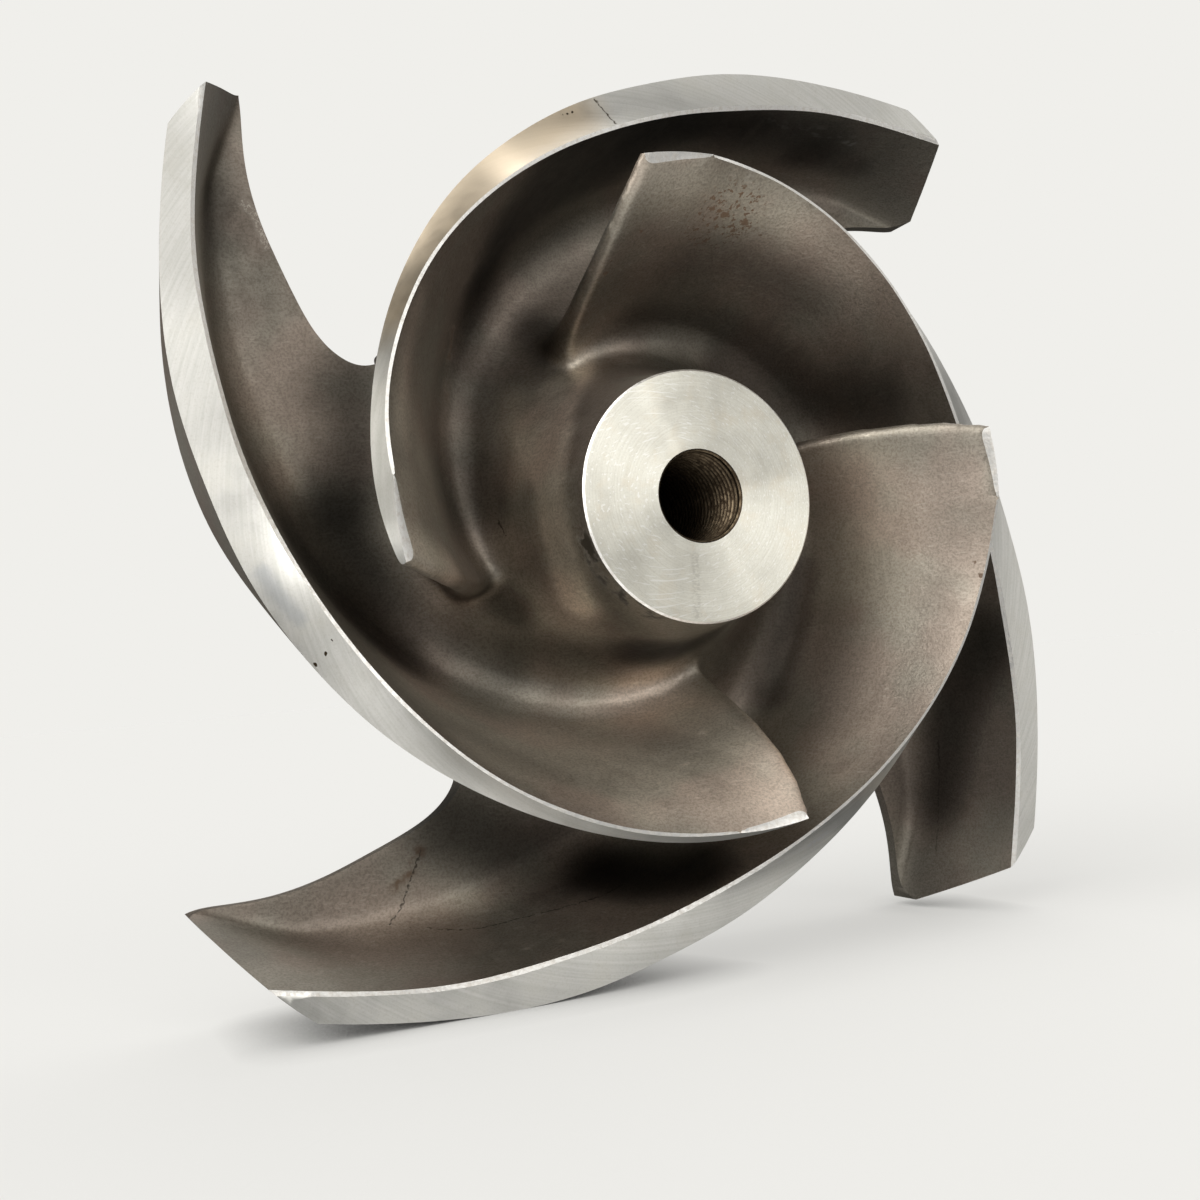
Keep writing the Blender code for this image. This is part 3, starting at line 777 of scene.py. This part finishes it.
def fill(tree, made, values):
    """Feed several inputs of a node by name."""
    for name, value in values.items():
        feed(tree, made.inputs[name], value)


def times(tree, a, b):
    return calc(tree, "MULTIPLY", a, b)


def most(tree, a, b):
    return calc(tree, "MAXIMUM", a, b)


def vector(tree, operation, a, b=None, scale=None):
    made = node(tree, "ShaderNodeVectorMath", operation=operation)
    feed(tree, made.inputs[0], a)
    feed(tree, made.inputs[1], b)
    if scale is not None:
        feed(tree, made.inputs["Scale"], scale)
    single = operation in ("DOT_PRODUCT", "LENGTH", "DISTANCE")
    return made.outputs["Value" if single else "Vector"]


def ramp(tree, value, low, high, at_low=0.0, at_high=1.0):
    """Smooth step of a value, from one result to another."""
    made = node(tree, "ShaderNodeMapRange", interpolation_type="SMOOTHSTEP")
    fill(tree, made, {"Value": value, "From Min": low, "From Max": high, "To Min": at_low,
                      "To Max": at_high})
    return made.outputs["Result"]


def noise(tree, at, size, detail=3.0, rough=0.55, distortion=0.0):
    """Cloudy pattern with features of a size in millimetres."""
    made = node(tree, "ShaderNodeTexNoise")
    fill(tree, made, {"Vector": at, "Scale": 1.0 / size, "Detail": detail, "Roughness": rough,
                      "Distortion": distortion})
    return made.outputs["Fac"]


def blend(tree, amount, a, b):
    """Mix of two colours."""
    made = node(tree, "ShaderNodeMix", data_type="RGBA")
    feed(tree, made.inputs[0], amount)
    for socket, value in ((made.inputs[6], a), (made.inputs[7], b)):
        if isinstance(value, tuple):
            value = (*value, 1.0)
        feed(tree, socket, value)
    return made.outputs[2]


def bump(tree, height, depth_mm, strength=1.0, before=None):
    made = node(tree, "ShaderNodeBump")
    fill(tree, made, {"Strength": strength, "Distance": depth_mm * MM, "Height": height,
                      "Normal": before})
    return made.outputs["Normal"]


def compass(az, el):
    """Direction at a compass angle from the front and a height, in degrees."""
    a, e = radians(az), radians(el)
    return (sin(a) * cos(e), -cos(a) * cos(e), sin(e))


def smooth_step(value, low, high):
    f = np.clip((value - low) / (high - low), 0.0, 1.0)
    return f * f * (3.0 - 2.0 * f)


def light_from(directions):
    """Brightness of the studio in some directions."""
    def lobe(az, el, width, strength):
        facing = directions @ np.array(compass(az, el))
        return strength * smooth_step(facing, cos(radians(width)), 1.0)
    window = sum(lobe(*light) for light in WINDOW)
    for across, low, high in WINDOW_EDGES:
        window = window * smooth_step(directions @ np.array(across), low, high)
    total = DIM + window + sum(lobe(*light) for light in LIGHTS)
    for across, at, width, side, low, high, strength in STRIPS:
        off = np.abs(directions @ np.array(across) - at)
        strip = (1.0 - smooth_step(off, 0.4 * width, width)) * strength
        total = total + strip * smooth_step(directions @ np.array(side), low, high)
    return total


def studio_light(tree):
    """The same brightness as light_from, as shader nodes."""
    toward = node(tree, "ShaderNodeTexCoord").outputs["Generated"]

    def lobe(az, el, width, strength, before):
        facing = vector(tree, "DOT_PRODUCT", toward, compass(az, el))
        glow = ramp(tree, facing, cos(radians(width)), 1.0)
        return calc(tree, "MULTIPLY_ADD", glow, strength, before)
    window = 0.0
    for light in WINDOW:
        window = lobe(*light, window)
    for across, low, high in WINDOW_EDGES:
        past = vector(tree, "DOT_PRODUCT", toward, across)
        window = times(tree, window, ramp(tree, past, low, high))
    total = calc(tree, "ADD", window, DIM)
    for light in LIGHTS:
        total = lobe(*light, total)
    for across, at, width, side, low, high, strength in STRIPS:
        off = calc(tree, "SUBTRACT", vector(tree, "DOT_PRODUCT", toward, across), at)
        off = calc(tree, "ABSOLUTE", off)
        strip = ramp(tree, off, 0.4 * width, width, strength, 0.0)
        gate = ramp(tree, vector(tree, "DOT_PRODUCT", toward, side), low, high)
        total = calc(tree, "MULTIPLY_ADD", strip, gate, total)
    return total


def floor_light():
    """Mean brightness that a level floor receives."""
    k = np.arange(SKY_POINTS)
    height = np.sqrt((k + 0.5) / SKY_POINTS)
    turn = k * pi * (3.0 - 5.0 ** 0.5)
    flat = np.sqrt(1.0 - height ** 2)
    return light_from(np.stack([flat * np.cos(turn), flat * np.sin(turn), height], axis=1)).mean()


def studio_world(scene):
    """Soft light from all round, with a plain colour behind the part."""
    world = bpy.data.worlds.new("studio")
    scene.world = world
    world.use_nodes = True
    tree = world.node_tree
    total = studio_light(tree)
    light = tree.nodes["Background"]
    light.inputs["Color"].default_value = (*LIGHT_TINT, 1.0)
    feed(tree, light.inputs["Strength"], total)
    plain_back = node(tree, "ShaderNodeBackground")
    plain_back.inputs["Color"].default_value = (*BACKDROP, 1.0)
    choose = node(tree, "ShaderNodeMixShader")
    feed(tree, choose.inputs[0], node(tree, "ShaderNodeLightPath").outputs["Is Camera Ray"])
    feed(tree, choose.inputs[1], light.outputs[0])
    feed(tree, choose.inputs[2], plain_back.outputs[0])
    feed(tree, tree.nodes["World Output"].inputs["Surface"], choose.outputs[0])


def pale_floor():
    """Floor paint that matches the colour behind, with a painted contact shadow where the part is near.
    """
    paint = new_material("pale_floor")
    tree, shader = paint.node_tree, shader_of(paint)
    near = node(tree, "ShaderNodeAmbientOcclusion", samples=4)
    near.inputs["Distance"].default_value = CONTACT_REACH
    open_sky = calc(tree, "POWER", near.outputs["AO"], CONTACT_SHADE)
    got = floor_light()
    lit = 1.0 - FLOOR_GLOW
    full = tuple(lit * b / (t * got) for b, t in zip(BACKDROP, LIGHT_TINT))
    fill(tree, shader, {
        "Base Color": blend(tree, open_sky, (0.0, 0.0, 0.0), full),
        "Emission Color": (*BACKDROP, 1.0),
        "Emission Strength": times(tree, open_sky, FLOOR_GLOW),
        "Roughness": 1.0,
        "Specular IOR Level": 0.0})
    return paint


def studio():
    scene = bpy.context.scene
    scene.view_settings.view_transform = "Standard"
    studio_world(scene)
    mesh = bpy.data.meshes.new("floor")
    low = FLOOR_HEIGHT
    mesh.from_pydata([(-6, -6, low), (6, -6, low), (6, 6, low), (-6, 6, low)], [], [(0, 1, 2, 3)])
    mesh.materials.append(pale_floor())
    floor = linked("floor", mesh)
    floor.visible_glossy = False
    floor.visible_diffuse = False


def shader_of(material):
    return material.node_tree.nodes["Principled BSDF"]


def new_material(name):
    material = bpy.data.materials.new(name)
    material.use_nodes = True
    return material


def place(tree):
    """Position in millimetres about the shaft axis."""
    at = node(tree, "ShaderNodeTexCoord").outputs["Object"]
    at = vector(tree, "SCALE", at, scale=MM_PER_M)
    return vector(tree, "SUBTRACT", at, (0.0, -SEAT_DEPTH, AXIS_ABOVE_ORIGIN))


def off_axis(tree, at):
    """Offset of a place from the shaft axis."""
    return vector(tree, "MULTIPLY", at, (1.0, 0.0, 1.0))


def wobbled(tree, at, size, reach):
    """Position shifted a little at random, for ragged edges."""
    made = node(tree, "ShaderNodeTexNoise")
    fill(tree, made, {"Vector": at, "Scale": 1.0 / size, "Detail": 1.0})
    shift = vector(tree, "SUBTRACT", made.outputs["Color"], (0.5, 0.5, 0.5))
    return vector(tree, "ADD", at, vector(tree, "SCALE", shift, scale=2.0 * reach))


def spots(tree, at, marks):
    """Mask of round marks, each an (x, y, z, radius)."""
    total = 0.0
    for x, y, z, size in marks:
        far = vector(tree, "DISTANCE", at, (x, y, z))
        total = most(tree, total, ramp(tree, far, size * 0.9, size * 1.5, 1.0, 0.0))
    return total


def strokes(tree, at, lines, width, edge):
    """Mask of drawn lines, each a list of points."""
    nearest = FAR_OFF
    for line in lines:
        for a, b in zip(line, line[1:]):
            run = tuple(q - p for p, q in zip(a, b))
            away = vector(tree, "SUBTRACT", at, a)
            ahead = vector(tree, "DOT_PRODUCT", away, run)
            share = calc(tree, "MULTIPLY", ahead, 1.0 / sum(d * d for d in run), clamp=True)
            foot = vector(tree, "SCALE", run, scale=share)
            nearest = calc(tree, "MINIMUM", nearest, vector(tree, "DISTANCE", away, foot))
    return ramp(tree, nearest, width * 0.5, width * 0.5 + edge, 1.0, 0.0)


def paint_light_and_stains(piece):
    """Write the darker and lighter areas of the metal, partly painted shade and highlights and partly
    stains, on the piece's vertices.
    """
    mesh = piece.data
    at = np.zeros(len(mesh.vertices) * 3)
    mesh.vertices.foreach_get("co", at)
    at = at.reshape(-1, 3) / MM - np.array([0.0, -SEAT_DEPTH, AXIS_ABOVE_ORIGIN])
    for name, areas in (("skin_painted_light_and_stains", SKIN_PAINTED_LIGHT_AND_STAINS), ("front_painted_light_and_stains", FRONT_PAINTED_LIGHT_AND_STAINS)):
        total = np.zeros(len(at))
        for stops, reach, line in areas:
            nearest = np.full(len(at), FAR_OFF)
            line = np.array(line, dtype=float)
            for a, b in zip(line, line[1:]):
                run = b - a
                share = np.clip((at - a) @ run / (run @ run), 0.0, 1.0)
                off = np.linalg.norm(at - a - share[:, None] * run, axis=1)
                nearest = np.minimum(nearest, off)
            fade = np.clip(1.0 - (nearest / (AREA_FADE * reach)) ** 2, 0.0, 1.0)
            total += stops * fade ** 2
        tone = mesh.attributes.new(name, "FLOAT", "POINT")
        tone.data.foreach_set("value", np.minimum(total, MOST_STOPS))


def with_painted_light_and_stains(tree, colour, name):
    """A colour made darker or lighter by the stops written on the vertices: painted shade and
    highlights, and stains.
    """
    tone = node(tree, "ShaderNodeAttribute", attribute_name=name).outputs["Fac"]
    return vector(tree, "SCALE", colour, scale=calc(tree, "POWER", 2.0, tone))


def cast_skin():
    """Shot-blasted cast skin, with its rust, cracks, scrapes and crust."""
    material = new_material("cast_stainless_skin")
    tree, shader = material.node_tree, shader_of(material)
    at = place(tree)
    patches = noise(tree, at, 26.0, 2.0, 0.6)
    blots = noise(tree, at, 4.5, 3.0, 0.6)
    grain = noise(tree, at, 0.55, 2.0, 0.65)
    scratch = noise(tree, vector(tree, "MULTIPLY", at, (0.35, 0.35, 2.2)), 0.9, 1.0)
    rough_at = wobbled(tree, at, 1.1, 0.7)
    colour = blend(tree, ramp(tree, patches, 0.38, 0.62), (0.310, 0.262, 0.222), (0.306, 0.284, 0.240))
    colour = blend(tree, ramp(tree, blots, 0.42, 0.72, 0.0, 0.14), colour, (0.208, 0.182, 0.150))
    colour = blend(tree, ramp(tree, grain, 0.40, 0.66, 0.0, 0.45), colour, (0.15, 0.125, 0.10))
    colour = blend(tree, ramp(tree, scratch, 0.62, 0.70, 0.0, 0.30), colour, (0.42, 0.38, 0.33))

    specks = times(tree, ramp(tree, scratch, 0.74, 0.78), ramp(tree, patches, 0.5, 0.62))
    cluster = times(tree, ramp(tree, noise(tree, at, 1.2, 2.0, 0.6), 0.56, 0.61),
                    spots(tree, at, RUST_CLUSTER))
    seep = times(tree, strokes(tree, rough_at, RUST_LINES, 0.8, 1.6), ramp(tree, blots, 0.35, 0.6))
    rust = most(tree, spots(tree, rough_at, MARKS_OF_RUST), cluster)
    rust = most(tree, rust, times(tree, specks, 0.55))
    rust = most(tree, rust, seep)
    colour = blend(tree, times(tree, rust, 0.85), colour, (0.085, 0.045, 0.020))

    scrape = times(tree, strokes(tree, rough_at, SCRAPES, 0.6, 1.4), ramp(tree, grain, 0.45, 0.6))
    colour = blend(tree, times(tree, scrape, 0.7), colour, (0.62, 0.57, 0.50))
    brushed = times(tree, strokes(tree, at, BRUSHED, 1.0, 3.0), ramp(tree, scratch, 0.45, 0.7))
    colour = blend(tree, times(tree, brushed, 0.55), colour, (0.60, 0.58, 0.54))
    crust = times(tree, strokes(tree, rough_at, HUB_CRUST, 3.0, 2.2), ramp(tree, blots, 0.42, 0.58))
    colour = blend(tree, crust, colour, (0.030, 0.024, 0.016))
    fine = times(tree, strokes(tree, rough_at, FINE_CRACKS, 0.15, 0.35), 0.55)
    split = most(tree, strokes(tree, rough_at, CRACKS, 0.10, 0.30), fine)
    colour = blend(tree, times(tree, split, 0.75), colour, (0.02, 0.017, 0.013))

    dull = times(tree, most(tree, rust, crust), 0.7)
    pebbles = bump(tree, noise(tree, at, 1.9, 1.5), 0.10, 0.6)
    # The skin areas darken and lighten the base colour: painted shade in channels and at the vanes'
    # feet, painted highlights on fillets, and stains.
    fill(tree, shader, {
        "Base Color": with_painted_light_and_stains(tree, colour, "skin_painted_light_and_stains"),
        "Metallic": calc(tree, "SUBTRACT", 1.0, dull),
        "Roughness": ramp(tree, blots, 0.3, 0.7, 0.475, 0.53),
        "Normal": bump(tree, grain, 0.06, 0.7, pebbles)})
    return material


def front_marks(tree, colour, at, rough_at):
    """Golden tint, smudge, crack and pits of the vane fronts."""
    gold = times(tree, strokes(tree, at, OVEN_TINT, 5.0, 12.0), 0.75)
    colour = blend(tree, gold, colour, (0.70, 0.56, 0.38))
    smudge = times(tree, strokes(tree, rough_at, FRONT_SMUDGE, 0.6, 2.4), 0.4)
    colour = blend(tree, smudge, colour, (0.33, 0.36, 0.40))
    split = strokes(tree, rough_at, FRONT_CRACK, 0.10, 0.30)
    pits = most(tree, spots(tree, rough_at, FRONT_PITS), split)
    return blend(tree, pits, colour, (0.05, 0.035, 0.02))


def hub_marks(tree, colour, at, rough_at):
    """Stains, bright flecks and the score of the hub's face."""
    stains = ramp(tree, noise(tree, at, 6.0, 3.0, 0.6, 0.5), 0.5, 0.7, 0.0, 0.3)
    colour = blend(tree, stains, colour, (0.74, 0.66, 0.52))
    along = vector(tree, "MULTIPLY", at, (1.1, 0.0, 1.1))
    flecks = noise(tree, vector(tree, "ADD", along, grooved(tree, at, 2.4)), 1.0, 1.0)
    colour = blend(tree, ramp(tree, flecks, 0.61, 0.66, 0.0, 0.7), colour, (0.97, 0.96, 0.92))
    worn = noise(tree, vector(tree, "MULTIPLY", at, (1.0, 0.0, 2.4)), 1.0, 1.0)
    score = times(tree, strokes(tree, rough_at, HUB_SCORE, 0.8, 1.2), ramp(tree, worn, 0.4, 0.6))
    return blend(tree, times(tree, score, 0.5), colour, (0.52, 0.50, 0.44))


def grooved(tree, at, per_mm):
    """Coordinate that changes only with the distance from the shaft axis."""
    made = node(tree, "ShaderNodeCombineXYZ")
    radius = vector(tree, "LENGTH", off_axis(tree, at))
    feed(tree, made.inputs[0], times(tree, radius, per_mm))
    return made.outputs[0]


def turned_metal(name, dark, light, anisotropy, groove_mm, depth_mm, marks):
    """Metal with fine grooves round the shaft axis, and its marks."""
    material = new_material(name)
    tree, shader = material.node_tree, shader_of(material)
    at = place(tree)
    along = vector(tree, "MULTIPLY", at, (0.06, 0.0, 0.06))
    across = grooved(tree, at, 1.0 / groove_mm)
    grooves = noise(tree, vector(tree, "ADD", along, across), 1.0, 2.5, 0.65)
    cloud = noise(tree, at, 9.0, 3.0, 0.6)
    grain = noise(tree, at, 0.45, 1.5, 0.6)
    colour = blend(tree, ramp(tree, grooves, 0.25, 0.75), dark, light)
    colour = blend(tree, ramp(tree, cloud, 0.45, 0.75, 0.0, 0.3), colour, (0.62, 0.60, 0.53))
    colour = blend(tree, ramp(tree, grain, 0.45, 0.75, 0.0, 0.22), colour, (0.48, 0.46, 0.40))
    colour = marks(tree, colour, at, wobbled(tree, at, 1.1, 0.5))
    rough = ramp(tree, cloud, 0.3, 0.7, TURNED_ROUGHNESS * 0.88, TURNED_ROUGHNESS * 1.12)
    # The front areas darken and lighten the base colour: painted shade and painted highlights, and
    # stains.
    fill(tree, shader, {
        "Base Color": with_painted_light_and_stains(tree, colour, "front_painted_light_and_stains"),
        "Metallic": 1.0,
        "Anisotropic": anisotropy,
        "Roughness": rough,
        "Tangent": vector(tree, "NORMALIZE", off_axis(tree, at)),
        "Normal": bump(tree, grooves, depth_mm, 0.5)})
    return material


def thread_metal():
    """Dirty thread, darkest at its root."""
    material = new_material("cut_thread")
    tree, shader = material.node_tree, shader_of(material)
    at = place(tree)
    radius = vector(tree, "LENGTH", off_axis(tree, at))
    dirt = noise(tree, at, 1.3, 4.0, 0.6)
    colour = blend(tree, ramp(tree, radius, 9.32, 9.75), (0.15, 0.115, 0.075), (0.02, 0.015, 0.010))
    colour = blend(tree, ramp(tree, dirt, 0.45, 0.62, 0.0, 0.85), colour, (0.05, 0.035, 0.022))
    fill(tree, shader, {
        "Base Color": colour,
        "Metallic": 1.0,
        "Roughness": ramp(tree, dirt, 0.3, 0.7, 0.30, 0.6),
        "Normal": bump(tree, dirt, 0.12, 0.5)})
    return material


def dressed_metal():
    """Bright filed edges with small nicks."""
    material = new_material("dressed_edges")
    tree, shader = material.node_tree, shader_of(material)
    nicks = noise(tree, place(tree), 1.1, 4.0, 0.65)
    colour = blend(tree, ramp(tree, nicks, 0.4, 0.7), (0.93, 0.92, 0.89), (0.78, 0.75, 0.70))
    fill(tree, shader, {
        "Base Color": colour,
        "Metallic": 1.0,
        "Roughness": ramp(tree, nicks, 0.3, 0.7, 0.30, 0.5),
        "Normal": bump(tree, nicks, 0.15, 0.6)})
    return material


def metals():
    """The material of each kind of surface."""
    fronts = turned_metal("turned_vane_fronts", (0.64, 0.64, 0.60), (0.76, 0.75, 0.72),
                          0.7, 0.6, 0.03, front_marks)
    hub = turned_metal("turned_hub_face", (0.76, 0.74, 0.65), (0.87, 0.86, 0.78),
                       0.98, 0.33, 0.012, hub_marks)
    return {"cast": cast_skin(), "turned_front": fronts, "turned_hub": hub,
            "bore_thread": thread_metal(), "dressed_edge": dressed_metal()}


def camera():
    """Camera at the photograph's viewing angle."""
    data = bpy.data.cameras.new("view")
    data.lens = CAMERA_LENS
    data.sensor_width = CAMERA_SENSOR
    data.clip_start = 0.01
    data.clip_end = 100.0
    cam = linked("view", data)
    cam.location = CAMERA_PLACE
    cam.rotation_mode = "QUATERNION"
    cam.rotation_quaternion = CAMERA_TURN
    bpy.context.scene.camera = cam


def main():
    camera()
    studio()
    piece = impeller_piece()
    paint_light_and_stains(piece)
    made = metals()
    for i, label in enumerate(FACES):
        piece.data.materials[i] = made[label]
    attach(piece, "root")
    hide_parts("impeller")


main()
